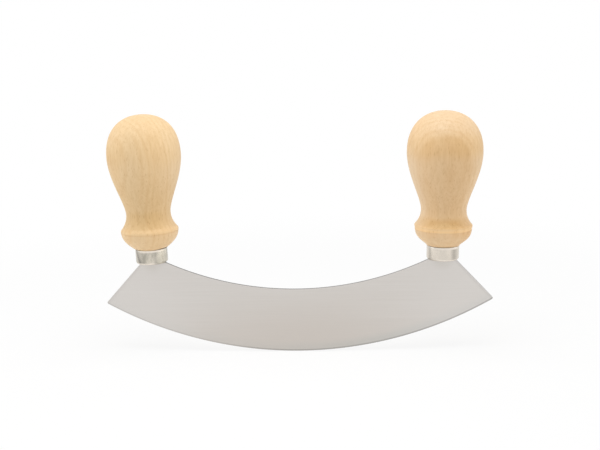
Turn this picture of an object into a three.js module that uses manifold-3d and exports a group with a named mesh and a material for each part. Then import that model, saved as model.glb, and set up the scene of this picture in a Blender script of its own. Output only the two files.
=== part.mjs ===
// A two-handled rocking knife for mincing herbs and cutting flat bread: one curved steel blade,
// stamped with two tangs, and on each tang a turned beech handle collared by a drawn steel ferrule.
// Millimetres, +Z up. The blade lies in the XZ plane, and the origin is the lowest point of its edge.
import * as THREE from "three";
import { mergeVertices, toCreasedNormals } from "three/addons/utils/BufferGeometryUtils.js";
import Module from "manifold-3d";

const wasm = await Module();
wasm.setup();

// Blade: the edge is one arc, and the spine is the arc through its middle and both roots.
const edgeRadius = 230;
const edgeChord = 230; // tip to tip
const bladeDepth = 38.4; // edge to spine, in the middle
const bladeThickness = 1.8;
const tipRadius = 1;
const grindWidth = 18; // the band that thins towards the edge
const bevelWidth = 0.9; // the sharpened strip along the edge
const bevelThickness = 0.5; // what the grind leaves behind the bevel

// Roots: the flat shoulders at the blade's ends that the ferrules stand on.
const shoulderRise = 16.8; // above the middle of the spine
const rootInner = 9; // from the handle's axis towards the middle of the blade
const rootOuter = 7.7; // from the handle's axis towards the tip

// Tangs: tapered tongues of the blade's own sheet.
const tangLength = 42;
const tangRootWidth = 8;
const tangTipWidth = 5;

// Handles: their axes cross the shoulders this far in from the tips, and lean outwards.
const handleInset = 29.5;
const handleLean = 1.6; // degrees

// Ferrule: a drawn cup, slotted for the tang.
const ferruleDiameter = 18.8;
const ferruleHeight = 8.7;
const ferruleWall = 0.8;
const ferruleFloor = 0.8;
const ferruleFootRadius = 1.2;
const ferruleRimRadius = 0.5;

// Turned handle, from the ferrule up: ovolo, collar, cove, neck, bulb.
const undersideOverhang = 0.2; // wood beyond the ferrule where the two meet
const ovoloHeight = 9.2;
const neckDiameter = 26.2;
const collarOverhang = 3.5; // collar beyond the neck
const collarBand = 1; // upright, between the ovolo and the rounded edge
const collarRound = 2.75;
const coveRadius = 13.5; // from the collar's edge in to the neck
const neckToBulb = 33.4;
const bulbDiameter = 43.4;
const bulbToTop = 24;
const neckPull = 7.2; // lengths of the curve's handles: above the neck,
const bulbPullBelow = 12.4; // under and over the bulb's widest ring,
const bulbPullAbove = 15.8;
const crownPull = 12.5; // and across the crown

// Resin that sets each tang in its drilled hole.
const resinWall = 0.9; // least thickness, at the tang's corners
const resinCap = 2; // over the end of the tang
const drillPointAngle = 59; // degrees between the drill's axis and its lips

const fitGap = 0.3; // between pieces that seat on one another

// Facets.
const turnedSegments = 48;
const edgeSegments = 240; // in a full turn of the edge's circle
const bladeSteps = 16; // on half the spine, and on half the blank's lower side
const curveSteps = 8;
const arcSteps = 4;

const steel = new THREE.MeshStandardMaterial({ color: 0xcdc8c2, metalness: 1, roughness: 0.35 });
const plating = new THREE.MeshStandardMaterial({ color: 0xcbc4b6, metalness: 1, roughness: 0.22 });
const beech = new THREE.MeshStandardMaterial({ color: 0xe0c294, metalness: 0, roughness: 0.6 });
const amber = new THREE.MeshStandardMaterial({ color: 0x6b4a2b, metalness: 0, roughness: 0.5 });

const lean = THREE.MathUtils.degToRad(handleLean);
const handleX = edgeChord / 2 - handleInset;
const shoulderHeight = bladeDepth + shoulderRise;
const ferruleRadius = ferruleDiameter / 2;
const ferruleTop = fitGap + ferruleHeight;
const ferruleBore = ferruleRadius - ferruleWall;
const spigotRadius = ferruleBore - fitGap;
const spigotFoot = fitGap + ferruleFloor + fitGap;
const slotCorner = Math.hypot(tangRootWidth / 2 + fitGap, bladeThickness / 2 + fitGap);
const resinRadius = slotCorner + resinWall;
const resinTop = tangLength + fitGap + resinCap;
const boreRadius = resinRadius + fitGap;
const drillPoint = 1 / Math.tan(THREE.MathUtils.degToRad(drillPointAngle)); // height over radius
const cutMargin = 1; // how far a cutting solid runs past what it cuts
const creaseAngle = THREE.MathUtils.degToRad(30);

// A closed geometry as a solid that can be cut.
function solidOf(geometry) {
  geometry.deleteAttribute("normal");
  geometry.deleteAttribute("uv");
  const merged = mergeVertices(geometry);
  const vertProperties = merged.getAttribute("position").array;
  const triVerts = Uint32Array.from(merged.index.array);
  return new wasm.Manifold(new wasm.Mesh({ numProp: 3, vertProperties, triVerts }));
}

function geometryOf(solid) {
  const { vertProperties, triVerts } = solid.getMesh();
  const geometry = new THREE.BufferGeometry();
  geometry.setAttribute("position", new THREE.BufferAttribute(vertProperties, 3));
  geometry.setIndex(new THREE.BufferAttribute(triVerts, 1));
  return toCreasedNormals(geometry, creaseAngle);
}

function arc(centre, radius, from, to, steps) {
  return new THREE.EllipseCurve(centre.x, centre.y, radius, radius, from, to, to < from).getPoints(steps);
}

function angleAt(centre, point) {
  return Math.atan2(point.y - centre.y, point.x - centre.x);
}

// A half section of radius and height, spun about +Z. Its material lies to the left of its path.
function turned(section) {
  return new THREE.LatheGeometry(section, turnedSegments).rotateX(Math.PI / 2);
}

// A flat outline in X and Z, with its thickness centred on the XZ plane.
function plate(outline, thickness) {
  const shape = new THREE.Shape(outline);
  const sheet = new THREE.ExtrudeGeometry(shape, { depth: thickness, bevelEnabled: false });
  return sheet.rotateX(Math.PI / 2).translate(0, thickness / 2, 0);
}

// The rounded corner where the slanted end, from tip to root, runs into the edge's circle.
// Its centre lies one tip radius inside both of them.
function roundedTip(edgeCentre, tip, rootCorner) {
  const along = rootCorner.clone().sub(tip).normalize();
  const inward = new THREE.Vector2(-along.y, along.x);
  const offset = tip.clone().addScaledVector(inward, tipRadius).sub(edgeCentre);
  const run = offset.dot(along);
  const reach = (edgeRadius - tipRadius) ** 2 - offset.lengthSq() + run ** 2;
  const centre = offset.addScaledVector(along, -run - Math.sqrt(reach)).add(edgeCentre);
  return arc(centre, tipRadius, angleAt(edgeCentre, centre), angleAt(inward, new THREE.Vector2()), arcSteps);
}

// Half the blade's outline, from below the middle of the edge round to the middle of the spine.
// It runs past the edge, which the grind then makes.
function halfBladeOutline() {
  const shoulder = new THREE.Vector2(handleX, shoulderHeight);
  const across = new THREE.Vector2(Math.cos(lean), -Math.sin(lean));
  const up = new THREE.Vector2(Math.sin(lean), Math.cos(lean));
  const onRoot = (x, z) => shoulder.clone().addScaledVector(across, x).addScaledVector(up, z);

  const edgeCentre = new THREE.Vector2(0, edgeRadius);
  const tipX = edgeChord / 2;
  const tip = new THREE.Vector2(tipX, edgeRadius - Math.sqrt(edgeRadius ** 2 - tipX ** 2));
  const outerCorner = onRoot(rootOuter, 0);
  const innerCorner = onRoot(-rootInner, 0);

  const rise = innerCorner.y - bladeDepth;
  const spineRadius = (innerCorner.x ** 2 + rise ** 2) / (2 * rise);
  const spineCentre = new THREE.Vector2(0, bladeDepth + spineRadius);

  return [
    new THREE.Vector2(0, -cutMargin),
    ...arc(edgeCentre, edgeRadius + cutMargin, -Math.PI / 2, angleAt(edgeCentre, tip), bladeSteps).slice(1),
    ...roundedTip(edgeCentre, tip, outerCorner),
    outerCorner,
    onRoot(tangRootWidth / 2, 0),
    onRoot(tangTipWidth / 2, tangLength),
    onRoot(-tangTipWidth / 2, tangLength),
    onRoot(-tangRootWidth / 2, 0),
    ...arc(spineCentre, spineRadius, angleAt(spineCentre, innerCorner), -Math.PI / 2, bladeSteps),
  ];
}

// The disc of metal that the grinding leaves: flat bands and a bevel, turned about the edge's centre.
function grindDisc() {
  const slope = (bladeThickness - bevelThickness) / 2 / (grindWidth - bevelWidth);
  const halfHub = bladeThickness / 2 + cutMargin;
  const hubRadius = edgeRadius - bevelWidth - (halfHub - bevelThickness / 2) / slope;
  const section = [
    new THREE.Vector2(0, -halfHub),
    new THREE.Vector2(hubRadius, -halfHub),
    new THREE.Vector2(edgeRadius - bevelWidth, -bevelThickness / 2),
    new THREE.Vector2(edgeRadius, 0),
    new THREE.Vector2(edgeRadius - bevelWidth, bevelThickness / 2),
    new THREE.Vector2(hubRadius, halfHub),
    new THREE.Vector2(0, halfHub),
  ];
  return new THREE.LatheGeometry(section, edgeSegments).translate(0, 0, edgeRadius);
}

function blade() {
  const half = halfBladeOutline();
  const mirrored = half.slice(1, -1).reverse().map((point) => new THREE.Vector2(-point.x, point.y));
  const blank = solidOf(plate([...half, ...mirrored], bladeThickness));
  return geometryOf(blank.intersect(solidOf(grindDisc())));
}

// The room a tang needs in what it passes through. Heights in a handle start at the blade's shoulder.
function tangRoom() {
  const foot = -cutMargin;
  const top = tangLength + fitGap;
  const rootHalf = tangRootWidth / 2 + fitGap;
  const tipHalf = tangTipWidth / 2 + fitGap;
  const outline = [
    new THREE.Vector2(-rootHalf, foot),
    new THREE.Vector2(rootHalf, foot),
    new THREE.Vector2(rootHalf, 0),
    new THREE.Vector2(tipHalf, top),
    new THREE.Vector2(-tipHalf, top),
    new THREE.Vector2(-rootHalf, 0),
  ];
  return solidOf(plate(outline, bladeThickness + 2 * fitGap));
}

function ferrule() {
  const foot = new THREE.Vector2(ferruleRadius - ferruleFootRadius, fitGap + ferruleFootRadius);
  const rim = new THREE.Vector2(ferruleRadius - ferruleRimRadius, ferruleTop - ferruleRimRadius);
  const section = [
    new THREE.Vector2(0, fitGap),
    ...arc(foot, ferruleFootRadius, -Math.PI / 2, 0, arcSteps),
    ...arc(rim, ferruleRimRadius, 0, Math.PI / 2, arcSteps / 2),
    new THREE.Vector2(ferruleBore, ferruleTop),
    new THREE.Vector2(ferruleBore, fitGap + ferruleFloor),
    new THREE.Vector2(0, fitGap + ferruleFloor),
  ];
  return geometryOf(solidOf(turned(section)).subtract(tangRoom()));
}

function handle() {
  const neckRadius = neckDiameter / 2;
  const bulbRadius = bulbDiameter / 2;
  const collarRadius = neckRadius + collarOverhang;
  const undersideRadius = ferruleRadius + undersideOverhang;
  const underside = ferruleTop + fitGap;
  const collar = underside + ovoloHeight;

  // The ovolo stands upright at the collar, so its centre is level with it.
  const swell = collarRadius - undersideRadius;
  const ovoloRadius = (swell ** 2 + ovoloHeight ** 2) / (2 * swell);
  const ovoloCentre = new THREE.Vector2(collarRadius - ovoloRadius, collar);
  const ovoloFoot = angleAt(ovoloCentre, new THREE.Vector2(undersideRadius, underside));

  // The collar's rounded edge is tangent to the cove, which ends upright at the neck.
  const edgeCentre = new THREE.Vector2(collarRadius - collarRound, collar + collarBand);
  const reach = coveRadius + collarRound;
  const inset = neckRadius + coveRadius - edgeCentre.x;
  const neck = edgeCentre.y + Math.sqrt(reach ** 2 - inset ** 2);
  const coveCentre = new THREE.Vector2(neckRadius + coveRadius, neck);
  const edgeEnd = angleAt(edgeCentre, coveCentre);

  const bulb = neck + neckToBulb;
  const top = bulb + bulbToTop;
  const flank = new THREE.CubicBezierCurve(
    new THREE.Vector2(neckRadius, neck),
    new THREE.Vector2(neckRadius, neck + neckPull),
    new THREE.Vector2(bulbRadius, bulb - bulbPullBelow),
    new THREE.Vector2(bulbRadius, bulb),
  );
  const dome = new THREE.CubicBezierCurve(
    new THREE.Vector2(bulbRadius, bulb),
    new THREE.Vector2(bulbRadius, bulb + bulbPullAbove),
    new THREE.Vector2(crownPull, top),
    new THREE.Vector2(0, top),
  );
  const drillTop = resinTop + fitGap;
  return turned([
    new THREE.Vector2(0, drillTop),
    new THREE.Vector2(boreRadius, drillTop - boreRadius * drillPoint),
    new THREE.Vector2(boreRadius, spigotFoot),
    new THREE.Vector2(spigotRadius, spigotFoot),
    new THREE.Vector2(spigotRadius, underside),
    ...arc(ovoloCentre, ovoloRadius, ovoloFoot, 0, arcSteps),
    ...arc(edgeCentre, collarRound, 0, edgeEnd, arcSteps / 2),
    ...arc(coveCentre, coveRadius, edgeEnd + Math.PI, Math.PI, arcSteps).slice(1),
    ...flank.getPoints(curveSteps).slice(1),
    ...dome.getPoints(curveSteps).slice(1),
  ]);
}

function tangResin() {
  const plug = turned([
    new THREE.Vector2(0, spigotFoot),
    new THREE.Vector2(resinRadius, spigotFoot),
    new THREE.Vector2(resinRadius, resinTop - resinRadius * drillPoint),
    new THREE.Vector2(0, resinTop),
  ]);
  return geometryOf(solidOf(plug).subtract(tangRoom()));
}

function piece(name, geometry, material) {
  const mesh = new THREE.Mesh(geometry, material);
  mesh.name = name;
  return mesh;
}

const knife = new THREE.Group();
knife.add(piece("blade", blade(), steel));
for (const [side, direction] of [["left", -1], ["right", 1]]) {
  const station = new THREE.Group();
  station.position.set(direction * handleX, 0, shoulderHeight);
  station.rotation.y = direction * lean;
  station.add(piece(`${side}_ferrule`, ferrule(), plating));
  station.add(piece(`${side}_tang_resin`, tangResin(), amber));
  station.add(piece(`${side}_handle`, handle(), beech));
  knife.add(station);
}

export default knife;
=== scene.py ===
import math

import bmesh
import bpy
from mathutils import Matrix, Vector


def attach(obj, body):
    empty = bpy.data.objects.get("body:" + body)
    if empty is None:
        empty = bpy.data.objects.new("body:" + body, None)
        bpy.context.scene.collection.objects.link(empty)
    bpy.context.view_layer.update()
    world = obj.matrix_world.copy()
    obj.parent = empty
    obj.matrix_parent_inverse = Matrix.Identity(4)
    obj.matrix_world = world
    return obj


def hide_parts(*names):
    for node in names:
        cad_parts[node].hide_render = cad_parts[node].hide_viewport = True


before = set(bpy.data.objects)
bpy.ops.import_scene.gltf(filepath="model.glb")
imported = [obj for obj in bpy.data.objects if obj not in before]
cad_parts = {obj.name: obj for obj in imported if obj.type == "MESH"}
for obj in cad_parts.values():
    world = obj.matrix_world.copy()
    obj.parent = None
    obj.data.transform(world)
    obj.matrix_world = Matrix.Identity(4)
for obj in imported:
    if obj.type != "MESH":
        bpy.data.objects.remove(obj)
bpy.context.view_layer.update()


# Blade
# One crescent of stainless sheet, stamped out with its two tangs. Both faces are ground thinner
# towards the curved edge, sharpened there, and belt-polished lengthwise to a warm grey satin.

mm = 0.001
sides = (-1, 1)
tips = {-1: Vector((-114.5, 30.4)) * mm, 1: Vector((115, 31.1)) * mm}
tip_radius = 1 * mm
blade_depth = 37.85 * mm
blade_half = 0.9 * mm
grind_width = 18 * mm
bevel_width = 0.9 * mm
bevel_half = 0.25 * mm
rim_softness = 0.14 * mm
shoulder_height = 54.9 * mm
root_inner = {-1: 7.5 * mm, 1: 8.1 * mm}
root_outer = {-1: 6.7 * mm, 1: 7.6 * mm}
tang_length = 42 * mm
tang_root_half = 4 * mm
tang_tip_half = 2.5 * mm
handle_x = 85.5 * mm
handle_lean = math.radians(1.6)


def circle_through(first, second, third):
    """The centre and the radius of the circle through three points."""
    one = first - second
    other = third - second
    offset = Vector((other.y, -other.x)) * one.length_squared
    offset -= Vector((one.y, -one.x)) * other.length_squared
    offset /= 2 * (one.x * other.y - one.y * other.x)
    return second + offset, offset.length


def turn_to(offset):
    """How far round from straight down a direction lies."""
    return math.atan2(offset.x, -offset.y)


def spoke(turn):
    """The unit vector this far round from straight down."""
    return Vector((math.sin(turn), -math.cos(turn)))


edge_centre, edge_radius = circle_through(tips[-1], Vector((0, 0)), tips[1])


def on_shoulder(side, along, height):
    """A point of the outline, outwards along a shoulder and up from it."""
    middle = Vector((side * handle_x, shoulder_height))
    across = Vector((side * math.cos(handle_lean), -math.sin(handle_lean)))
    upward = Vector((side * math.sin(handle_lean), math.cos(handle_lean)))
    return middle + across * along + upward * height


def angle_on_edge(point):
    """How far round the edge's circle a point lies, from the middle of the blade."""
    return turn_to(point - edge_centre)


def depth_from_edge(point):
    return edge_radius - (point - edge_centre).length


# Each slanted end runs from its tip to the shoulder's outer corner, and the tip is rounded off.
outer_corner = {side: on_shoulder(side, root_outer[side], 0) for side in sides}
inner_corner = {side: on_shoulder(side, -root_inner[side], 0) for side in sides}
end_line = {side: (outer_corner[side] - tips[side]).normalized() for side in sides}
end_inward = {side: Vector((-end_line[side].y, end_line[side].x)) * side for side in sides}


def along_end(side, start, radius):
    """The first point at this radius from the edge's centre, going up the slant from start."""
    offset = start - edge_centre
    run = offset.dot(end_line[side])
    rest = math.sqrt(run ** 2 - offset.length_squared + radius ** 2)
    return start - end_line[side] * (run + rest)


tip_centre = {}
tip_round_depth = {}
for side in sides:
    inset = end_inward[side] * tip_radius
    tip_centre[side] = along_end(side, tips[side] + inset, edge_radius - tip_radius)
    tip_round_depth[side] = depth_from_edge(tip_centre[side] - inset)


def end_angle(side, depth):
    """Where the blade ends, this deep behind its edge."""
    radius = edge_radius - depth
    if depth >= tip_round_depth[side]:
        return angle_on_edge(along_end(side, tips[side], radius))
    reach = edge_radius - tip_radius
    opening = (radius ** 2 + reach ** 2 - tip_radius ** 2) / (2 * radius * reach)
    return angle_on_edge(tip_centre[side]) + side * math.acos(min(1, opening))


def half_thickness(depth):
    """Half the thickness, this deep: a flat bevel, then a grind that swells to the full sheet."""
    if depth <= bevel_width:
        return bevel_half * depth / bevel_width
    ground = min(1, (depth - bevel_width) / (grind_width - bevel_width))
    return bevel_half + (blade_half - bevel_half) * math.sin(ground * math.pi / 2)


# Columns of vertices start on the top outline: the spine's arc, then a shoulder with its tang.
spine_steps = 72
root_steps = 3
tang_steps = 4
spine_centre, spine_radius = circle_through(
    inner_corner[-1], Vector((0, blade_depth)), inner_corner[1]
)
half_top = {}
for side in sides:
    spine_turn = turn_to(inner_corner[side] - spine_centre)
    half_top[side] = [
        spine_centre + spoke(spine_turn * step / spine_steps) * spine_radius
        for step in range(spine_steps + 1)
    ]
    root_spans = [
        (-root_inner[side], -tang_root_half, root_steps),
        (-tang_root_half, tang_root_half, tang_steps),
        (tang_root_half, root_outer[side], root_steps),
    ]
    for first, last, steps in root_spans:
        for step in range(1, steps + 1):
            along = first + (last - first) * step / steps
            half_top[side].append(on_shoulder(side, along, 0))
tang_first = spine_steps + root_steps
tang_columns = range(tang_first, tang_first + tang_steps + 1)
last_column = len(half_top[1]) - 1
columns = range(-last_column, last_column + 1)

# Rows follow the edge, close together on the sharpened strip, and then spread up to the outline.
bevel_shares = (0, 0.02, 0.08, 0.2, 0.4, 0.7, 1)
bevel_rows = [bevel_width * share for share in bevel_shares]
past_tip_rounds = 1.05
grind_start = max(bevel_width, *tip_round_depth.values()) * past_tip_rounds
grind_steps = 9
grind_crowding = 1.6
grind_rows = [
    grind_start + (grind_width - grind_start) * (step / grind_steps) ** grind_crowding
    for step in range(grind_steps + 1)
]
fixed_rows = bevel_rows + grind_rows
upper_rows = 8


def row_depth(row, full_depth):
    if row < len(fixed_rows):
        return fixed_rows[row]
    share = (row - len(fixed_rows) + 1) / upper_rows
    return grind_width + (full_depth - grind_width) * share


rows = range(len(fixed_rows) + upper_rows)
top_row = rows[-1]
bevel_row = len(bevel_rows) - 1
tang_row = top_row + 1

blade_shape = bmesh.new()
grid = {}
for row in rows:
    spread = {}
    for side in sides:
        end_depth = row_depth(row, depth_from_edge(outer_corner[side]))
        spread[side] = end_angle(side, end_depth) / angle_on_edge(outer_corner[side])
    for column in columns:
        side = -1 if column < 0 else 1
        outline = half_top[side][abs(column)]
        depth = row_depth(row, depth_from_edge(outline))
        turn = angle_on_edge(outline) * spread[side]
        point = edge_centre + spoke(turn) * (edge_radius - depth)
        half = half_thickness(depth)
        front = blade_shape.verts.new((point.x, -half, point.y))
        back = blade_shape.verts.new((point.x, half, point.y)) if half else front
        grid[row, column] = front, back
for side in sides:
    for number, column in enumerate(tang_columns):
        along = tang_tip_half * (2 * number / tang_steps - 1)
        point = on_shoulder(side, along, tang_length)
        grid[tang_row, side * column] = tuple(
            blade_shape.verts.new((point.x, y, point.y)) for y in (-blade_half, blade_half)
        )

# Faces are marked where a tool has cut the polished sheet: sheared on the rim, whetted on the strip.
sheared = blade_shape.faces.layers.float.new("sheared")
whetted = blade_shape.faces.layers.float.new("whetted")


def skin(*corners, cut_by=None):
    corners = list(dict.fromkeys(corners))
    if len(corners) > 2:
        face = blade_shape.faces.new(corners)
        if cut_by:
            face[cut_by] = 1.0


def rim(first, second):
    """The sheared rim of the sheet between two neighbours on its outline."""
    skin(first[0], second[0], second[1], first[1], cut_by=sheared)


for row in range(tang_row):
    for column in columns[:-1]:
        corners = [(row, column), (row, column + 1), (row + 1, column + 1), (row + 1, column)]
        if all(corner in grid for corner in corners):
            cut_by = whetted if row < bevel_row else None
            skin(*[grid[corner][0] for corner in corners], cut_by=cut_by)
            skin(*[grid[corner][1] for corner in reversed(corners)], cut_by=cut_by)
        elif row == top_row:
            rim(grid[row, column], grid[row, column + 1])
for row in range(top_row):
    for column in (columns[0], columns[-1]):
        rim(grid[row, column], grid[row + 1, column])
for side in sides:
    for column in (tang_columns[0], tang_columns[-1]):
        rim(grid[top_row, side * column], grid[tang_row, side * column])
    for column in tang_columns[:-1]:
        rim(grid[tang_row, side * column], grid[tang_row, side * (column + 1)])
bmesh.ops.recalc_face_normals(blade_shape, faces=blade_shape.faces)

# The polishing belt softens the sheared corners, from the first ground row up.
corner_angle = math.radians(60)
soft_from = (bevel_width + grind_start) / 2
soft_edges = [
    edge
    for edge in blade_shape.edges
    if edge.calc_face_angle(0) > corner_angle
    and all(depth_from_edge(vertex.co.xz) > soft_from for vertex in edge.verts)
]
bmesh.ops.bevel(
    blade_shape, geom=soft_edges, offset=rim_softness, segments=2, profile=0.5, affect="EDGES"
)


def finished_mesh(name, shape):
    mesh = bpy.data.meshes.new(name)
    shape.to_mesh(mesh)
    shape.free()
    return mesh


def smooth_with_creases(mesh, degrees):
    mesh.shade_smooth()
    mesh.set_sharp_from_angle(angle=math.radians(degrees))


def add_object(name, data):
    piece = bpy.data.objects.new(name, data)
    bpy.context.scene.collection.objects.link(piece)
    return piece


def add_node(tree, kind, inputs=None, **settings):
    """A node with its settings, and with each input either linked or set."""
    node = tree.nodes.new(kind)
    for name, value in settings.items():
        setattr(node, name, value)
    for key, value in (inputs or {}).items():
        if isinstance(value, bpy.types.NodeSocket):
            tree.links.new(value, node.inputs[key])
        else:
            node.inputs[key].default_value = value
    return node


def new_finish(name):
    finish = bpy.data.materials.new(name)
    finish.use_nodes = True
    tree = finish.node_tree
    place = add_node(tree, "ShaderNodeTexCoord").outputs["Object"]
    return finish, tree, tree.nodes["Principled BSDF"], place


def axes(tree, place):
    return add_node(tree, "ShaderNodeSeparateXYZ", {0: place}).outputs


def seen_from(tree, place, origin, rotation=(0, 0, 0), unit=(1, 1, 1)):
    """A place measured from another origin, along its own axes and in its own units."""
    mapping = add_node(
        tree,
        "ShaderNodeMapping",
        {"Vector": place, "Location": origin, "Rotation": rotation, "Scale": unit},
        vector_type="TEXTURE",
    )
    return mapping.outputs[0]


def stretched_noise(tree, place, scale, detail=3.0, roughness=0.5):
    """Soft noise with this many blotches to the metre along each axis."""
    spread = add_node(tree, "ShaderNodeMapping", {"Vector": place, "Scale": scale})
    noise = add_node(
        tree,
        "ShaderNodeTexNoise",
        {"Vector": spread.outputs[0], "Scale": 1.0, "Detail": detail, "Roughness": roughness},
    )
    return noise.outputs["Fac"]


def vector_math(tree, operation, first, second=(0, 0, 0)):
    return add_node(
        tree, "ShaderNodeVectorMath", {0: first, 1: second}, operation=operation
    ).outputs


def calculate(tree, operation, first, second=0.0, third=0.0):
    return add_node(
        tree, "ShaderNodeMath", {0: first, 1: second, 2: third}, operation=operation
    ).outputs[0]


def product(tree, first, *others):
    for factor in others:
        first = calculate(tree, "MULTIPLY", first, factor)
    return first


def six_to_four(tree, main, other):
    """Six parts of one pattern to four of another."""
    return calculate(tree, "MULTIPLY_ADD", main, 0.6, product(tree, other, 0.4))


def remap(tree, value, source, target):
    """A value carried smoothly from one range to another, and held at their ends."""
    node = add_node(
        tree,
        "ShaderNodeMapRange",
        {
            "Value": value,
            "From Min": source[0],
            "From Max": source[1],
            "To Min": target[0],
            "To Max": target[1],
        },
        interpolation_type="SMOOTHSTEP",
    )
    return node.outputs["Result"]


def mix_colour(tree, amount, first, second, blend="MIX"):
    """Two colours mixed. The node takes colours at inputs 6 and 7, and gives one at output 2."""
    node = add_node(
        tree,
        "ShaderNodeMix",
        {0: amount, 6: first, 7: second},
        data_type="RGBA",
        blend_type=blend,
    )
    return node.outputs[2]


def roughen(tree, shader, height, strength, distance):
    bump = add_node(
        tree, "ShaderNodeBump", {"Height": height, "Strength": strength, "Distance": distance}
    )
    tree.links.new(bump.outputs["Normal"], shader.inputs["Normal"])


def in_plane(point):
    """A point or direction of the blade's outline, in the knife's frame."""
    return point.x, 0, point.y


# Soft noise seldom leaves noise_reach.
noise_reach = (0.3, 0.7)
polish_dark = (0.617, 0.587, 0.555, 1)
polish_light = (0.657, 0.629, 0.6, 1)
polish_cloud = (0.622, 0.584, 0.546, 1)
steel_roughness = (0.38, 0.32)

steel, tree, shader, place = new_finish("satin_steel")
shader.inputs["Metallic"].default_value = 1.0
bands = stretched_noise(tree, place, (5, 60, 420), detail=5.0, roughness=0.6)
scratches = stretched_noise(tree, place, (26, 60, 3600), detail=2.0)
clouds = stretched_noise(tree, place, (11, 40, 20))
polish = six_to_four(tree, scratches, bands)
steel_colour = mix_colour(tree, remap(tree, polish, noise_reach, (0, 1)), polish_dark, polish_light)
clouded = remap(tree, clouds, (0.35, 0.7), (0, 0.5))
steel_colour = mix_colour(tree, clouded, steel_colour, polish_cloud)

# Painted shade: the lower middle of the blade is painted a little darker and warmer.
shaded_steel = (0.575, 0.527, 0.482, 1)
shade_middle = (0, 0, 4.4 * mm)
shade_reach = (125 * mm, 1, 40 * mm)
flat_place = vector_math(tree, "MULTIPLY", place, (1, 0, 1))["Vector"]
shade_place = seen_from(tree, flat_place, shade_middle, unit=shade_reach)
from_shade_middle = vector_math(tree, "LENGTH", shade_place)["Value"]
middle_shade = remap(tree, from_shade_middle, (0.1, 1), (0.8, 0))
steel_colour = mix_colour(tree, middle_shade, steel_colour, shaded_steel)

# Honing has left a grey strip behind the edge, plainest on its right half.
honed_tint = (0.912, 0.945, 0.957, 1)
honed_strip = (edge_radius - 7 * mm, edge_radius - 1.5 * mm)
honed_length = (-60 * mm, 50 * mm)
lengthwise = axes(tree, place)["X"]
from_edge_centre = vector_math(tree, "DISTANCE", flat_place, in_plane(edge_centre))["Value"]
honed = product(
    tree,
    remap(tree, from_edge_centre, honed_strip, (0, 1)),
    remap(tree, lengthwise, honed_length, (0.3, 1)),
)
steel_colour = mix_colour(tree, honed, steel_colour, honed_tint, "MULTIPLY")

# The ends are painted a little paler.
paler_end_steel = (0.665, 0.635, 0.605, 1)
pale_length = (50 * mm, 100 * mm)
near_end = remap(tree, calculate(tree, "ABSOLUTE", lengthwise), pale_length, (0, 0.6))
steel_colour = mix_colour(tree, near_end, steel_colour, paler_end_steel)

# The slanted ends were ground last, across the polish, which leaves a narrow dull strip.
ground_tint = (0.925, 0.925, 0.925, 1)
ground_strip = (0.7 * mm, 2 * mm)
for side in sides:
    from_tip = vector_math(tree, "SUBTRACT", place, in_plane(tips[side]))["Vector"]
    from_end = vector_math(tree, "DOT_PRODUCT", from_tip, in_plane(end_inward[side]))["Value"]
    end_ground = remap(tree, from_end, ground_strip, (0.8, 0))
    steel_colour = mix_colour(tree, end_ground, steel_colour, ground_tint, "MULTIPLY")

# Painted shade: close under the ferrules the steel is painted a little darker.
ferrule_shade_tint = (0.925, 0.92, 0.9, 1)
ferrule_shade_reach = (2 * mm, 8 * mm)
mirrored = vector_math(tree, "ABSOLUTE", place)["Vector"]
from_root = vector_math(tree, "DISTANCE", mirrored, (handle_x, 0, shoulder_height))["Value"]
ferrule_shade = remap(tree, from_root, ferrule_shade_reach, (0.8, 0))
steel_colour = mix_colour(tree, ferrule_shade, steel_colour, ferrule_shade_tint, "MULTIPLY")

# Cut steel is dark all round the rim. Along the edge it is darker where it has been whetted more.
cut_steel = (0.22, 0.212, 0.205, 1)
rim_darkness = 0.95
edge_darkness = (0.19, 0.43)
whetted_length = (-55 * mm, -20 * mm)
on_rim = add_node(tree, "ShaderNodeAttribute", attribute_name="sheared").outputs["Fac"]
on_edge = add_node(tree, "ShaderNodeAttribute", attribute_name="whetted").outputs["Fac"]
rim_dark = product(tree, on_rim, rim_darkness)
edge_dark = product(tree, on_edge, remap(tree, lengthwise, whetted_length, edge_darkness))
darkened = calculate(tree, "MAXIMUM", rim_dark, edge_dark)
steel_colour = mix_colour(tree, darkened, steel_colour, cut_steel)
tree.links.new(steel_colour, shader.inputs["Base Color"])
tree.links.new(remap(tree, polish, noise_reach, steel_roughness), shader.inputs["Roughness"])
roughen(tree, shader, scratches, strength=0.1, distance=0.05 * mm)

blade_mesh = finished_mesh("blade_crescent", blade_shape)
smooth_with_creases(blade_mesh, degrees=24)
blade_mesh.materials.append(steel)
blade = add_object("blade_crescent", blade_mesh)
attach(blade, "root")
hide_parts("blade")


# Ferrules
# A cup drawn from thin steel and plated bright, one under each handle. The blade's shoulder carries
# it, the tang goes up through the slot in its floor, and the handle's spigot fills it.

hands = {"left": -1, "right": 1}
fit_gap = 0.3 * mm
ferrule_seat = 0.15 * mm
ferrule_radius = 9.4 * mm
ferrule_tops = {"left": 8.88 * mm, "right": 8.38 * mm}
ferrule_wall = 0.8 * mm
ferrule_floor = 0.8 * mm
ferrule_foot_radius = 1.4 * mm
ferrule_rim_radius = 0.3 * mm
ferrule_segments = 96
ferrule_bore = ferrule_radius - ferrule_wall
slot_room = tang_root_half * 1.4


def arc(centre, radius, start, stop, steps):
    turns = [start + (stop - start) * step / steps for step in range(steps + 1)]
    return [(centre[0] + radius * math.cos(t), centre[1] + radius * math.sin(t)) for t in turns]


def handle_station(side):
    """From a handle's own axis, measured up from the shoulder, to the knife's frame."""
    place = Matrix.Translation((side * handle_x, 0, shoulder_height))
    return place @ Matrix.Rotation(side * handle_lean, 4, "Y")


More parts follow.
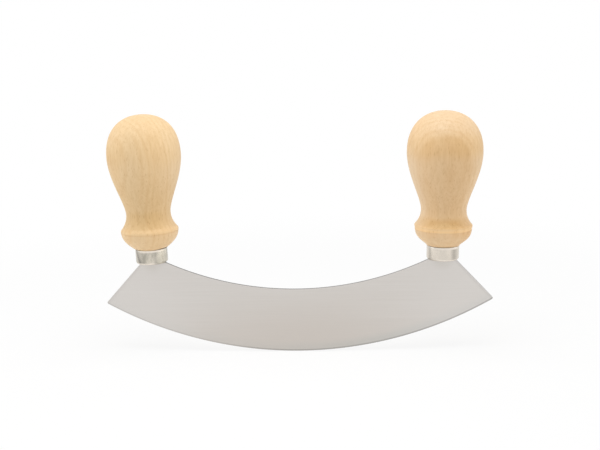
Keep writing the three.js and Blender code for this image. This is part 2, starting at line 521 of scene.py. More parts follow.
def turned(section, segments):
    """A half section of radius and height, spun about +Z. It starts and ends on the axis."""
    shape = bmesh.new()
    rings = []
    for radius, height in section:
        if radius == 0:
            rings.append([shape.verts.new((0, 0, height))] * segments)
            continue
        turns = [2 * math.pi * step / segments for step in range(segments)]
        rings.append(
            [shape.verts.new((radius * math.cos(t), radius * math.sin(t), height)) for t in turns]
        )
    for lower, upper in zip(rings, rings[1:]):
        for step in range(segments):
            following = (step + 1) % segments
            corners = [lower[step], lower[following], upper[following], upper[step]]
            shape.faces.new(list(dict.fromkeys(corners)))
    return shape


def ferrule_section(top):
    foot_centre = (ferrule_radius - ferrule_foot_radius, ferrule_seat + ferrule_foot_radius)
    rim_centre = (ferrule_radius - ferrule_rim_radius, top - ferrule_rim_radius)
    inner_floor = fit_gap + ferrule_floor
    return [
        (0, ferrule_seat),
        (slot_room, ferrule_seat),
        *arc(foot_centre, ferrule_foot_radius, -math.pi / 2, 0, steps=8),
        *arc(rim_centre, ferrule_rim_radius, 0, math.pi / 2, steps=6),
        (ferrule_bore, top),
        (ferrule_bore, inner_floor),
        (slot_room, inner_floor),
        (0, inner_floor),
    ]


def handle_place(tree, place, side):
    """A place measured from a handle's own axis, up from the shoulder."""
    station = (side * handle_x, 0, shoulder_height)
    return seen_from(tree, place, station, rotation=(0, side * handle_lean, 0))


def apart(tree, first, second):
    return calculate(tree, "ABSOLUTE", calculate(tree, "SUBTRACT", first, second))


dark_reflection = (0.25, 0.235, 0.21, 1)
warm_reflection = (0.74, 0.69, 0.57, 1)
highlight_plating = (0.87, 0.8, 0.715, 1)
plating_roughness = (0.18, 0.3)
highlight_roughness = 0.3
streak_waver = 0.6 * mm
highlight_spread = (3.5 * mm, 8.5 * mm)
highlight_left = 0.1


def plated(name, side, top, reflection_patch_colour, bright, patchiness, foot_painted_light, rim_highlight, reflection_streaks):
    """Nickel plating with painted reflections: darker soft patches and upright streaks, and a painted
    highlight, pale and matt, on its foot and rim. Each highlight is its strength, and how far right of
    the axis its middle lies. A streak is its distance from the axis at half the cup's height, its
    slant, half its width, strength and colour."""
    plating, tree, shader, place = new_finish(name)
    shader.inputs["Metallic"].default_value = 1.0
    across = axes(tree, handle_place(tree, place, side))
    patch_noise = stretched_noise(tree, place, (260, 260, 120))
    wiping = stretched_noise(tree, place, (90, 90, 1500))
    # Painted reflections: the plating is painted darker in soft patches.
    reflection_patches = remap(tree, patch_noise, (0.36, 0.62), (patchiness, 0))
    colour = mix_colour(tree, reflection_patches, bright, reflection_patch_colour)

    # Painted reflections in upright streaks, dark or warm.
    wavering = calculate(tree, "MULTIPLY_ADD", patch_noise, streak_waver, across["X"])
    for distance, slant, half_width, strength, tone in reflection_streaks:
        slanted = calculate(tree, "MULTIPLY_ADD", across["Z"], -slant, wavering)
        middle = distance + streak_waver / 2 - slant * top / 2
        reflection_streak = remap(tree, apart(tree, slanted, middle), (0, half_width), (strength, 0))
        colour = mix_colour(tree, reflection_streak, colour, tone)

    # Painted highlight: the foot and the rim are painted pale, and made matt too.
    foot_strip = (ferrule_seat + 0.8 * mm, ferrule_seat + 1.2 * mm)
    rim_strip = (top - 1.6 * mm, top - 0.8 * mm)
    on_foot = remap(tree, across["Z"], foot_strip, (1, 0))
    on_rim = remap(tree, across["Z"], rim_strip, (0, 1))
    highlighted = 0.0
    for strip, (strength, middle) in ((on_foot, foot_painted_light), (on_rim, rim_highlight)):
        off = apart(tree, across["X"], middle)
        inner_side_light = remap(tree, off, highlight_spread, (strength, highlight_left * strength))
        highlighted = calculate(tree, "MAXIMUM", product(tree, strip, inner_side_light), highlighted)
    colour = mix_colour(tree, highlighted, colour, highlight_plating)
    tree.links.new(colour, shader.inputs["Base Color"])
    wiped = remap(tree, wiping, noise_reach, plating_roughness)
    banded_roughness = calculate(tree, "MULTIPLY_ADD", highlighted, highlight_roughness, wiped)
    tree.links.new(banded_roughness, shader.inputs["Roughness"])
    roughen(tree, shader, patch_noise, strength=0.2, distance=0.4 * mm)
    return plating


platings = {
    "left": plated(
        "patched_plating",
        side=hands["left"],
        top=ferrule_tops["left"],
        reflection_patch_colour=(0.4, 0.375, 0.32, 1),
        bright=(0.65, 0.6, 0.515, 1),
        patchiness=0.95,
        foot_painted_light=(1.0, -2.5 * mm),
        rim_highlight=(0.85, 1.5 * mm),
        reflection_streaks=[
            (-6.6 * mm, -0.28, 1.2 * mm, 0.75, dark_reflection),
            (-5.2 * mm, 0, 3.6 * mm, 0.4, dark_reflection),
            (3.8 * mm, 0, 1.3 * mm, 0.3, dark_reflection),
            (7 * mm, 0, 3.6 * mm, 0.55, warm_reflection),
        ],
    ),
    "right": plated(
        "less_patched_plating",
        side=hands["right"],
        top=ferrule_tops["right"],
        reflection_patch_colour=(0.52, 0.485, 0.43, 1),
        bright=(0.735, 0.67, 0.585, 1),
        patchiness=0.3,
        foot_painted_light=(0.95, 2 * mm),
        rim_highlight=(0.55, 2.5 * mm),
        reflection_streaks=[
            (-7.7 * mm, 0, 1.2 * mm, 0.42, dark_reflection),
            (6.2 * mm, 0, 2.8 * mm, 0.54, dark_reflection),
        ],
    ),
}


def with_modifier_applied(piece):
    """The mesh that a piece's modifier makes of it. The modifier itself is removed."""
    depsgraph = bpy.context.evaluated_depsgraph_get()
    mesh = bpy.data.meshes.new_from_object(piece.evaluated_get(depsgraph))
    piece.modifiers.clear()
    return mesh


# The slot is punched with the cup still upright on its own axis.
punch_height = 6 * ferrule_floor
punch_size = (2 * (tang_root_half + fit_gap), 2 * (blade_half + fit_gap), punch_height)
punch_shape = bmesh.new()
bmesh.ops.create_cube(punch_shape, size=1)
bmesh.ops.scale(punch_shape, vec=punch_size, verts=punch_shape.verts)
punch = add_object("tang_punch", finished_mesh("tang_punch", punch_shape))
for hand, side in hands.items():
    cup = turned(ferrule_section(ferrule_tops[hand]), ferrule_segments)
    ferrule = add_object(hand + "_ferrule_cup", finished_mesh(hand + "_cup", cup))
    slotting = ferrule.modifiers.new("tang_slot", "BOOLEAN")
    slotting.operation = "DIFFERENCE"
    slotting.object = punch
    ferrule_mesh = with_modifier_applied(ferrule)
    ferrule_mesh.transform(handle_station(side))
    smooth_with_creases(ferrule_mesh, degrees=35)
    ferrule_mesh.materials.clear()
    ferrule_mesh.materials.append(platings[hand])
    ferrule.data = ferrule_mesh
    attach(ferrule, "root")
    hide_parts(hand + "_ferrule")
bpy.data.objects.remove(punch)


# Tang resin
# Amber resin, poured round each tang in its drilled hole, where it cures hard and locks the handle.
# It is out of sight inside the wood, so the CAD solids stay.

resin_dark = (0.16, 0.075, 0.025, 1)
resin_light = (0.27, 0.14, 0.055, 1)
resin_roughness = (0.3, 0.5)

resin, tree, shader, place = new_finish("amber_resin")
murk = stretched_noise(tree, place, (180, 180, 180), detail=4.0)
resin_colour = mix_colour(tree, remap(tree, murk, noise_reach, (0, 1)), resin_dark, resin_light)
tree.links.new(resin_colour, shader.inputs["Base Color"])
tree.links.new(remap(tree, murk, noise_reach, resin_roughness), shader.inputs["Roughness"])
for hand in hands:
    for finish_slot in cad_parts[hand + "_tang_resin"].material_slots:
        finish_slot.material = resin


# Handles
# Each is turned from one piece of pale beech: a spigot in the ferrule, an ovolo, a collar with a
# rounded edge, a cove up to the neck, and a bulb for the palm. Sanded and lightly oiled.

# The hole clears the resin, whose solid stands a shoulder_drop above this blade's shoulder.
resin_wall = 0.9 * mm
resin_cap = 2 * mm
shoulder_drop = 0.3 * mm
drill_point_angle = math.radians(59)
slot_corner = math.hypot(tang_root_half + fit_gap, blade_half + fit_gap)
bore_radius = slot_corner + resin_wall + fit_gap
drill_top = tang_length + shoulder_drop + fit_gap + resin_cap + fit_gap
underside_overhang = 0.2 * mm
handle_segments = 112
handle_curve_steps = 16
shared_sizes = {
    "Drill top": drill_top,
    "Bore radius": bore_radius,
    "Bore top": drill_top - bore_radius / math.tan(drill_point_angle),
    "Spigot radius": ferrule_bore - fit_gap,
    "Spigot foot": fit_gap + ferrule_floor + fit_gap,
    "Underside radius": ferrule_radius + underside_overhang,
    "Ovolo pull up": 2.1 * mm,
    "Neck pull": 6.9 * mm,
    "Bulb pull below": 13 * mm,
    "Bulb pull above": 16.3 * mm,
}

# Turned by hand to one pattern, so the two aren't quite alike. Each size is the left one's and the
# right one's, in millimetres. Heights are up from the shoulder, and the joint is over the ferrule.
turned_sizes = {
    "Joint": (0.18, 0.14),
    "Ovolo pull out": (3, 1.1),
    "Ovolo pull below": (4.3, 5.6),
    "Band taper": (0.08, 0.28),
    "Quirk": (0.2, 0.42),
    "Crease": (18.85, 17.9),
    "Collar radius": (16.95, 16.75),
    "Collar round": (2.15, 0.7),
    "Cove radius": (13.3, 12.2),
    "Neck radius": (13, 13.1),
    "Neck": (29.8, 29.2),
    "Bulb radius": (21.6, 21.78),
    "Bulb": (63.8, 62.7),
    "Top": (87.8, 86.3),
    "Crown pull": (12.6, 11.6),
}
hand_turned = {}
for number, hand in enumerate(hands):
    sizes = {label: pair[number] * mm for label, pair in turned_sizes.items()}
    sizes["Underside"] = ferrule_tops[hand] + sizes.pop("Joint")
    both_radii = sizes["Cove radius"] + sizes["Collar round"]
    inset = sizes["Neck radius"] + both_radii - sizes["Collar radius"]
    sizes["Collar sweep"] = math.acos(inset / both_radii)
    sizes["Collar top"] = sizes["Neck"] - both_radii * math.sin(sizes["Collar sweep"])
    hand_turned[hand] = sizes | shared_sizes

lathe = bpy.data.node_groups.new("handle_lathe", "GeometryNodeTree")
lathe.interface.new_socket("Handle", in_out="OUTPUT", socket_type="NodeSocketGeometry")
socket_kinds = {label: "NodeSocketFloat" for label in hand_turned["left"]}
socket_kinds["Lean"] = "NodeSocketFloat"
socket_kinds["Station"] = "NodeSocketVector"
socket_kinds["Segments"] = "NodeSocketInt"
socket_kinds["Curve steps"] = "NodeSocketInt"
socket_kinds["Wood"] = "NodeSocketMaterial"
lathe_inputs = {}
for label, kind in socket_kinds.items():
    socket = lathe.interface.new_socket(label, in_out="INPUT", socket_type=kind)
    lathe_inputs[label] = socket.identifier
size = add_node(lathe, "NodeGroupInput").outputs


def lathe_step(kind, inputs=None, **settings):
    """A node of the lathe, by its first output."""
    return add_node(lathe, kind, inputs, **settings).outputs[0]


def total(first, second):
    return calculate(lathe, "ADD", first, second)


def less(first, second):
    return calculate(lathe, "SUBTRACT", first, second)


def moved(geometry, place, rotation):
    return lathe_step(
        "GeometryNodeTransform",
        {"Geometry": geometry, "Translation": place, "Rotation": rotation},
    )


def on_section(radius, height):
    return lathe_step("ShaderNodeCombineXYZ", {"X": radius, "Z": height})


def straight_cut(start, end):
    return lathe_step("GeometryNodeCurvePrimitiveLine", {"Start": start, "End": end})


def round_cut(centre, radius, start, sweep):
    """Part of a circle, stood up into the section's plane."""
    bend = lathe_step(
        "GeometryNodeCurveArc",
        {
            "Resolution": size["Curve steps"],
            "Radius": radius,
            "Start Angle": start,
            "Sweep Angle": sweep,
        },
        mode="RADIUS",
    )
    return moved(bend, centre, (math.pi / 2, 0, 0))


def free_cut(start, start_pull, end_pull, end):
    """A free curve, which leaves its start towards one pull and comes to its end from the other."""
    return lathe_step(
        "GeometryNodeCurvePrimitiveBezierSegment",
        {
            "Resolution": product(lathe, size["Curve steps"], 2),
            "Start": start,
            "Start Handle": start_pull,
            "End Handle": end_pull,
            "End": end,
        },
        mode="POSITION",
    )


# The section, cut by cut: down the drilled hole, round the spigot, and up the outside to the crown.
quirk_step = 0.05 * mm
drill_point = on_section(0.0, size["Drill top"])
drill_shoulder = on_section(size["Bore radius"], size["Bore top"])
bore_mouth = on_section(size["Bore radius"], size["Spigot foot"])
spigot_rim = on_section(size["Spigot radius"], size["Spigot foot"])
spigot_root = on_section(size["Spigot radius"], size["Underside"])
underside_rim = on_section(size["Underside radius"], size["Underside"])
ovolo_top = less(size["Collar radius"], size["Quirk"])
band_foot = less(size["Collar radius"], size["Band taper"])
cuts = [
    straight_cut(drill_point, drill_shoulder),
    straight_cut(drill_shoulder, bore_mouth),
    straight_cut(bore_mouth, spigot_rim),
    straight_cut(spigot_rim, spigot_root),
    straight_cut(spigot_root, underside_rim),
    free_cut(
        underside_rim,
        on_section(
            total(size["Underside radius"], size["Ovolo pull out"]),
            total(size["Underside"], size["Ovolo pull up"]),
        ),
        on_section(ovolo_top, less(size["Crease"], size["Ovolo pull below"])),
        on_section(ovolo_top, size["Crease"]),
    ),
    straight_cut(
        on_section(band_foot, total(size["Crease"], quirk_step)),
        on_section(size["Collar radius"], size["Collar top"]),
    ),
    round_cut(
        on_section(less(size["Collar radius"], size["Collar round"]), size["Collar top"]),
        size["Collar round"],
        0.0,
        size["Collar sweep"],
    ),
    round_cut(
        on_section(total(size["Neck radius"], size["Cove radius"]), size["Neck"]),
        size["Cove radius"],
        total(size["Collar sweep"], math.pi),
        less(0.0, size["Collar sweep"]),
    ),
    free_cut(
        on_section(size["Neck radius"], size["Neck"]),
        on_section(size["Neck radius"], total(size["Neck"], size["Neck pull"])),
        on_section(size["Bulb radius"], less(size["Bulb"], size["Bulb pull below"])),
        on_section(size["Bulb radius"], size["Bulb"]),
    ),
    free_cut(
        on_section(size["Bulb radius"], size["Bulb"]),
        on_section(size["Bulb radius"], total(size["Bulb"], size["Bulb pull above"])),
        on_section(size["Crown pull"], size["Top"]),
        on_section(0.0, size["Top"]),
    ),
]

# Every cut is numbered along the section, so that all their points make one path in order.
order = "along_section"
joined = add_node(lathe, "GeometryNodeJoinGeometry")
for number, cut in enumerate(cuts):
    share = add_node(lathe, "GeometryNodeSplineParameter").outputs["Factor"]
    numbered = lathe_step(
        "GeometryNodeStoreNamedAttribute",
        {"Geometry": cut, "Name": order, "Value": total(share, float(number))},
        data_type="FLOAT",
        domain="POINT",
    )
    lathe.links.new(numbered, joined.inputs[0])
points = lathe_step("GeometryNodeCurveToPoints", {"Curve": joined.outputs[0]}, mode="EVALUATED")
weight = lathe_step("GeometryNodeInputNamedAttribute", {"Name": order}, data_type="FLOAT")
section = lathe_step("GeometryNodePointsToCurves", {"Points": points, "Weight": weight})
point_count = add_node(
    lathe, "GeometryNodeAttributeDomainSize", {"Geometry": section}, component="CURVE"
).outputs["Point Count"]

# A sheet of one row to each point of the section is bent round into the turned form.
seam_gap = 0.001 * mm
sheet = lathe_step(
    "GeometryNodeMeshGrid",
    {
        "Size X": 1.0,
        "Size Y": 1.0,
        "Vertices X": total(size["Segments"], 1),
        "Vertices Y": point_count,
    },
)
own_place = lathe_step("GeometryNodeInputPosition")
flat = axes(lathe, own_place)
lathe_turn = product(lathe, total(flat["X"], 0.5), 2 * math.pi)
row_number = lathe_step(
    "FunctionNodeFloatToInt",
    {0: product(lathe, total(flat["Y"], 0.5), less(point_count, 1))},
    rounding_mode="ROUND",
)
section_place = lathe_step(
    "GeometryNodeSampleIndex",
    {"Geometry": section, "Value": own_place, "Index": row_number},
    data_type="FLOAT_VECTOR",
    domain="POINT",
)
cut_at = axes(lathe, section_place)
spun = lathe_step(
    "ShaderNodeCombineXYZ",
    {
        "X": product(lathe, cut_at["X"], calculate(lathe, "COSINE", lathe_turn)),
        "Y": product(lathe, cut_at["X"], calculate(lathe, "SINE", lathe_turn)),
        "Z": cut_at["Z"],
    },
)
turning = lathe_step("GeometryNodeSetPosition", {"Geometry": sheet, "Position": spun})
closed = lathe_step("GeometryNodeMergeByDistance", {"Geometry": turning, "Distance": seam_gap})
leaning = lathe_step("ShaderNodeCombineXYZ", {"Y": size["Lean"]})
stood = moved(closed, size["Station"], leaning)
realized = lathe_step("GeometryNodeRealizeInstances", {"Geometry": stood})
finished = lathe_step("GeometryNodeSetMaterial", {"Geometry": realized, "Material": size["Wood"]})
add_node(lathe, "NodeGroupOutput", {"Handle": finished})


def band(tree, value, rise, fall, strength=1.0, rest=0.0):
    """A strength that comes on over one range of a value, and falls off over another to a rest."""
    rising = remap(tree, value, rise, (0, strength))
    return product(tree, rising, remap(tree, value, fall, (1, rest)))


pith_place = Vector((3, 150, 0)) * mm
ring_wander = 5 * mm
year_width = 2.9 * mm
heart_rise = (146.2 * mm, 150.5 * mm)
heart_fall = (154.5 * mm, 158.5 * mm)


def growth(tree, upright, ring_turn, ring_slope, heart):
    """The tree's years round a far pith, each with a darker close, and one broad dark band of them.
    ring_turn and ring_slope lay the board, and heart is how dark the band is."""
    pith = Matrix.Rotation(ring_turn, 3, "Z") @ pith_place
    board = seen_from(tree, upright, pith, rotation=(ring_slope, 0, ring_turn))
    flat_place = vector_math(tree, "MULTIPLY", board, (1, 1, 0))["Vector"]
    from_pith = vector_math(tree, "LENGTH", flat_place)["Value"]
    wander = stretched_noise(tree, upright, (60, 60, 18))
    wandering = calculate(tree, "MULTIPLY_ADD", wander, ring_wander, from_pith)
    year = calculate(tree, "DIVIDE", wandering, year_width)
    late_wood = remap(tree, calculate(tree, "PINGPONG", year, 0.5), (0.1, 0.5), (0, 1))
    good_year = add_node(
        tree,
        "ShaderNodeTexWhiteNoise",
        {"W": calculate(tree, "FLOOR", year)},
        noise_dimensions="1D",
    ).outputs["Value"]
    rings = product(tree, late_wood, remap(tree, good_year, (0, 1), (0.25, 1)))
    heartwood = band(tree, wandering, heart_rise, heart_fall, strength=heart, rest=0.1)
    return rings, heartwood


def ray_flecks(tree, upright):
    """Rays end on the surface as short upright flecks, in about two cells of every five."""
    room = add_node(
        tree, "ShaderNodeMapping", {"Vector": upright, "Scale": (1300, 1300, 260)}
    ).outputs[0]
    cells = add_node(
        tree, "ShaderNodeTexVoronoi", {"Vector": room, "Scale": 1.0, "Randomness": 1.0}
    ).outputs
    chance = add_node(tree, "ShaderNodeSeparateColor", {0: cells["Color"]}).outputs[0]
    return product(
        tree,
        remap(tree, cells["Distance"], (0.12, 0.4), (1, 0)),
        remap(tree, chance, (0.45, 0.8), (0, 1)),
    )


yellow_tint = (0.97, 0.92, 0.8, 1)
inner_light_beech = (0.86, 0.68, 0.48, 1)
handled_tint = (0.94, 0.92, 0.87, 1)


def aged_and_lit(tree, colour, height, outward, yellowing, inner_side_light, handling):
    """Beech after years of light and hands, and painted paler on its inner side as painted light.
    yellowing is how yellow a belt round the bulb is, in its middle and outside, the next how much paler
    the inner side is painted, and handling how far the neck is darkened."""
    yellowed = product(
        tree,
        band(tree, height, (58 * mm, 66 * mm), (70 * mm, 79 * mm)),
        remap(tree, outward, (0, 18 * mm), yellowing),
    )
    colour = mix_colour(tree, yellowed, colour, yellow_tint, "MULTIPLY")
    # Painted light: the inner side is painted paler, low on the bulb and below.
    inner_lit = product(
        tree,
        remap(tree, outward, (-20 * mm, -5 * mm), (inner_side_light, 0)),
        remap(tree, height, (54 * mm, 64 * mm), (1, 0)),
    )
    colour = mix_colour(tree, inner_lit, colour, inner_light_beech)
    handled = band(tree, height, (17 * mm, 27 * mm), (38 * mm, 60 * mm), strength=handling)
    return mix_colour(tree, handled, colour, handled_tint, "MULTIPLY")


cove_shade_tint = (0.885, 0.815, 0.635, 1)
edge_highlight_colour = (0.965, 0.665, 0.35, 1)
under_collar_shade_colour = (0.88, 0.48, 0.19, 1)
lit_ovolo_colour = (0.92, 0.685, 0.43, 1)
inner_side = (-15 * mm, -5 * mm)


def cove_shade(tree, height, aside, highlight_end, shade_strength, shade_top):
    """Painted shade in the cove, from the top of the collar's painted highlight up to a given height,
    least of it at the two sides.
    """
    rise = (highlight_end - 0.6 * mm, highlight_end + 0.6 * mm)
    fall = (shade_top - 4 * mm, shade_top)
    frontal = remap(tree, aside, (5 * mm, 15 * mm), (1, 0.3))
    return product(tree, band(tree, height, rise, fall, strength=shade_strength), frontal)


def collar_light_and_shade(tree, colour, height, outward, sizes, highlight_end, band_highlight, collar_shade_strength, foot_painted_light, inner_ovolo_light):
    """Painted light and shade on the collar and the ovolo. The last four arguments give, in turn, how
    pale the painted highlight on the collar's band and edge is, how dark and warm the painted shade
    close under the collar is, how pale the ovolo is painted at its foot and at its top, and how many
    times more so on its inner side."""
    foot = sizes["Underside"]
    crease = sizes["Crease"]
    rise = (crease - 0.3 * mm, crease + 0.6 * mm)
    fall = (highlight_end - 1.5 * mm, highlight_end + 1.6 * mm)
    # Painted highlight on the collar's band and rounded edge.
    edge_highlight = band(tree, height, rise, fall, strength=band_highlight)
    colour = mix_colour(tree, edge_highlight, colour, edge_highlight_colour)
    under_collar = remap(tree, height, (crease - 0.2 * mm, crease), (1, 0))
    # Painted shade, dark and warm, on the ovolo close under the collar.
    shaded_under_collar = product(
        tree,
        remap(tree, height, (crease - 5 * mm, crease - 1 * mm), (0, collar_shade_strength)),
        under_collar,
        remap(tree, outward, inner_side, (0, 1)),
    )
    colour = mix_colour(tree, shaded_under_collar, colour, under_collar_shade_colour)
    # Painted light: the ovolo is painted paler at its foot and top, most on its inner side.
    ovolo_light = product(
        tree,
        remap(tree, height, (foot + 0.4 * mm, crease), foot_painted_light),
        under_collar,
        remap(tree, outward, inner_side, (inner_ovolo_light, 1)),
    )
    return mix_colour(tree, ovolo_light, colour, lit_ovolo_colour)


joint_shade_colour = (0.14, 0.085, 0.04, 1)
joint_shade_height = 0.32 * mm


def joint_shaded(tree, colour, height, outward, aside, foot, strength, inner_height):
    """Painted shade in the joint with the ferrule. strength is how dark it is in the middle and at the
    sides, and inner_height how far it climbs on the inner side."""
    inner_quarter = (-4 * mm, -ferrule_radius)
    end = remap(tree, outward, inner_quarter, (foot + joint_shade_height, foot + inner_height))
    # Painted shade along the wood's lower edge, in the joint.
    joint_shade_mask = product(
        tree,
        remap(tree, height, (foot + 0.05 * mm, end), (1, 0)),
        remap(tree, aside, (2 * mm, 8.5 * mm), strength),
    )
    return mix_colour(tree, joint_shade_mask, colour, joint_shade_colour)


heart_tint = (0.935, 0.885, 0.805, 1)
ring_tint = (0.91, 0.83, 0.72, 1)
fleck_tint = (0.72, 0.58, 0.44, 1)
warm_tint = (1.0, 0.955, 0.88, 1)
ring_strength = 0.4
fleck_strength = 0.4
shaded_flecks = 0.4
fleck_relief = -0.4
beech_roughness = (0.62, 0.5)


def beech(name, side, sizes, light, dark, board, ageing_and_light, highlight_top, cove_shading, collar_lighting, joint_shade):
    """Oiled beech, light and dark along the handle's fibres, with its years, its flecks and its wear,
    and with painted light and shade. How far above the collar's band the painted highlight on its edge
    reaches is given on its own; board and the other arguments after it are what the functions above ask
    for."""
    wood, tree, shader, place = new_finish(name)
    shader.inputs["Specular IOR Level"].default_value = 0.35
    upright = handle_place(tree, place, side)
    across = axes(tree, upright)
    height = across["Z"]
    outward = product(tree, across["X"], float(side))
    aside = calculate(tree, "ABSOLUTE", across["X"])
    # The painted highlight on the collar reaches this high.
    highlight_end = sizes["Collar top"] + highlight_top

    # Fibres run up the axis, and are seen as dots on the crown.
    fibres = stretched_noise(tree, upright, (620, 620, 30), detail=4.0, roughness=0.6)
    fine_fibres = stretched_noise(tree, upright, (2400, 2400, 150), detail=2.0)
    grain = six_to_four(tree, fibres, fine_fibres)
    rings, heartwood = growth(tree, upright, **board)
    flecks = ray_flecks(tree, upright)
    warmth = stretched_noise(tree, upright, (60, 60, 16), detail=2.0)

    colour = mix_colour(tree, remap(tree, grain, (0.34, 0.66), (0, 1)), dark, light)
    colour = mix_colour(tree, heartwood, colour, heart_tint, "MULTIPLY")
    colour = aged_and_lit(tree, colour, height, outward, **ageing_and_light)
    # Painted shade in the cove darkens the wood there, and its flecks more.
    cove_shaded = cove_shade(tree, height, aside, highlight_end, **cove_shading)
    colour = mix_colour(tree, cove_shaded, colour, cove_shade_tint, "MULTIPLY")
    colour = collar_light_and_shade(tree, colour, height, outward, sizes, highlight_end, **collar_lighting)
    colour = mix_colour(tree, product(tree, rings, ring_strength), colour, ring_tint, "MULTIPLY")
    fleck_depth = calculate(tree, "MULTIPLY_ADD", cove_shaded, shaded_flecks, fleck_strength)
    colour = mix_colour(tree, product(tree, flecks, fleck_depth), colour, fleck_tint, "MULTIPLY")
    warmed = remap(tree, warmth, noise_reach, (0, 0.6))
    colour = mix_colour(tree, warmed, colour, warm_tint, "MULTIPLY")
    colour = joint_shaded(tree, colour, height, outward, aside, sizes["Underside"], **joint_shade)
    tree.links.new(colour, shader.inputs["Base Color"])
    tree.links.new(remap(tree, grain, noise_reach, beech_roughness), shader.inputs["Roughness"])
    relief = calculate(tree, "MULTIPLY_ADD", flecks, fleck_relief, grain)
    roughen(tree, shader, relief, strength=0.15, distance=0.1 * mm)
    return wood


beeches = {
    "left": beech(
        "pale_beech",
        side=hands["left"],
        sizes=hand_turned["left"],
        light=(0.86, 0.638, 0.377, 1),
        dark=(0.795, 0.57, 0.318, 1),
        board=dict(ring_turn=math.radians(-50), ring_slope=0.06, heart=0.25),
        ageing_and_light=dict(yellowing=(0.1, 0.55), inner_side_light=0.28, handling=1.0),
        highlight_top=2.6 * mm,
        cove_shading=dict(shade_strength=0.38, shade_top=34 * mm),
        collar_lighting=dict(band_highlight=0.22, collar_shade_strength=0.04, foot_painted_light=(0.3, 0.25), inner_ovolo_light=1.0),
        joint_shade=dict(strength=(0.04, 1.0), inner_height=1.1 * mm),
    ),
    "right": beech(
        "tan_beech",
        side=hands["right"],
        sizes=hand_turned["right"],
        light=(0.845, 0.628, 0.396, 1),
        dark=(0.78, 0.557, 0.33, 1),
        board=dict(ring_turn=math.radians(-3), ring_slope=0.25, heart=1.0),
        ageing_and_light=dict(yellowing=(0.65, 1.0), inner_side_light=0.45, handling=0.0),
        highlight_top=0.0,
        cove_shading=dict(shade_strength=0.93, shade_top=27.2 * mm),
        collar_lighting=dict(band_highlight=0.85, collar_shade_strength=0.17, foot_painted_light=(0.28, 0.06), inner_ovolo_light=4.0),
        joint_shade=dict(strength=(0.8, 0.55), inner_height=joint_shade_height),
    ),
}
for hand, side in hands.items():
    handle = add_object(hand + "_turned_handle", bpy.data.meshes.new("lathe_blank"))
    modifier = handle.modifiers.new("lathe", "NODES")
    modifier.node_group = lathe
    settings = dict(hand_turned[hand])
    settings["Lean"] = side * handle_lean
    settings["Station"] = (side * handle_x, 0.0, shoulder_height)
    settings["Segments"] = handle_segments
    settings["Curve steps"] = handle_curve_steps
    settings["Wood"] = beeches[hand]
    for label, value in settings.items():
        modifier[lathe_inputs[label]] = value
    handle.data = with_modifier_applied(handle)
    smooth_with_creases(handle.data, degrees=32)
    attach(handle, "root")
    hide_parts(hand + "_handle")


# Floor
# A wide sheet of matt white paper. It is white to the camera and in reflections, and keeps a faint
# shadow.

floor_half = 40.0
floor_drop = 0.2 * mm
paper_colour = (0.9, 0.9, 0.9, 1)
white = (1, 1, 1, 1)
shadow_reach = (150 * mm, 500 * mm)
paper_whiteness = (0.8, 1.0)

floor_shape = bmesh.new()
bmesh.ops.create_grid(floor_shape, x_segments=8, y_segments=8, size=floor_half)
floor_mesh = finished_mesh("paper_floor", floor_shape)
floor_mesh.transform(Matrix.Translation((0, 0, -floor_drop)))


def seen_directly(tree):
    """One on the rays that see a ground or a room itself, straight, in gloss or through glass."""
    rays = add_node(tree, "ShaderNodeLightPath").outputs
    seen = calculate(tree, "MAXIMUM", rays["Is Camera Ray"], rays["Is Glossy Ray"])
    return calculate(tree, "MAXIMUM", seen, rays["Is Transmission Ray"])


paper = bpy.data.materials.new("white_paper")
paper.use_nodes = True
tree = paper.node_tree
tree.nodes.clear()
place = add_node(tree, "ShaderNodeTexCoord").outputs["Object"]
matt = add_node(tree, "ShaderNodeBsdfDiffuse", {"Color": paper_colour})
glow = add_node(tree, "ShaderNodeEmission", {"Color": white, "Strength": 1.0})
away = vector_math(tree, "LENGTH", place)["Value"]
whiteness = product(tree, seen_directly(tree), remap(tree, away, shadow_reach, paper_whiteness))
paper_mix = add_node(
    tree, "ShaderNodeMixShader", {0: whiteness, 1: matt.outputs[0], 2: glow.outputs[0]}
)
add_node(tree, "ShaderNodeOutputMaterial", {"Surface": paper_mix.outputs[0]})
floor_mesh.materials.append(paper)
floor = add_object("paper_floor", floor_mesh)


# Studio light
# A white room, a wide soft box overhead, and one to each side that lift the rims of the bulbs.
# Places and sizes are in metres.

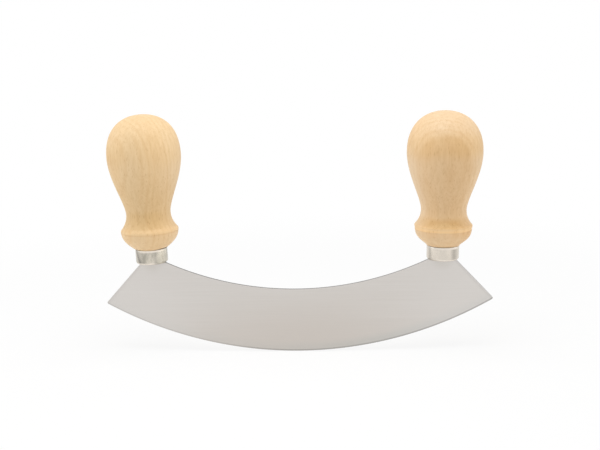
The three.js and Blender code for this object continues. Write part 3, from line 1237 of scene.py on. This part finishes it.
room_light = 0.55
world = bpy.data.worlds.new("white_room")
world.use_nodes = True
bpy.context.scene.world = world
tree = world.node_tree
tree.nodes.clear()
strength = calculate(tree, "MULTIPLY_ADD", seen_directly(tree), 1 - room_light, room_light)
room = add_node(tree, "ShaderNodeBackground", {"Color": white, "Strength": strength})
add_node(tree, "ShaderNodeOutputWorld", {"Surface": room.outputs[0]})

lit_point = Vector((0, 0, 90 * mm))


def soft_box(name, location, width, depth, watts):
    lamp = bpy.data.lights.new(name, "AREA")
    lamp.shape = "RECTANGLE"
    lamp.size = width
    lamp.size_y = depth
    lamp.energy = watts
    box = add_object(name, lamp)
    box.location = location
    box.rotation_euler = (lit_point - Vector(location)).to_track_quat("-Z", "Y").to_euler()


soft_box("overhead_box", location=(0, -0.175, 0.74), width=0.55, depth=0.5, watts=2.85)
soft_box("left_box", location=(-1.1, 0.06, 0.41), width=0.86, depth=0.98, watts=3.65)
soft_box("right_box", location=(1.56, 0.09, 0.54), width=1.2, depth=1.4, watts=6.4)


# Camera
# A long lens a little above the bulbs and a little to the right, rolled as the picture is.

target = Vector((2.9, 0, 76.12)) * mm
distance = 675.0 * mm
elevation = math.radians(10.5)
azimuth = math.radians(4.457)
roll = math.radians(-1.65)
sensor = 36.0
picture_pixels = 600
focal_pixels = 1156.08

back = Vector(
    (
        math.sin(azimuth) * math.cos(elevation),
        -math.cos(azimuth) * math.cos(elevation),
        math.sin(elevation),
    )
)
level = (-back).cross(Vector((0, 0, 1))).normalized()
upward = level.cross(-back)
right = level * math.cos(roll) + upward * math.sin(roll)
up = upward * math.cos(roll) - level * math.sin(roll)
lens = bpy.data.cameras.new("photo_camera")
lens.sensor_fit = "HORIZONTAL"
lens.sensor_width = sensor
lens.lens = sensor * focal_pixels / picture_pixels
lens.clip_start = 0.01
lens.clip_end = 200
camera = add_object("photo_camera", lens)
turned_frame = Matrix((right, up, back)).transposed().to_4x4()
camera.matrix_world = Matrix.Translation(target + back * distance) @ turned_frame
bpy.context.scene.camera = camera
bpy.context.scene.view_settings.view_transform = "Standard"
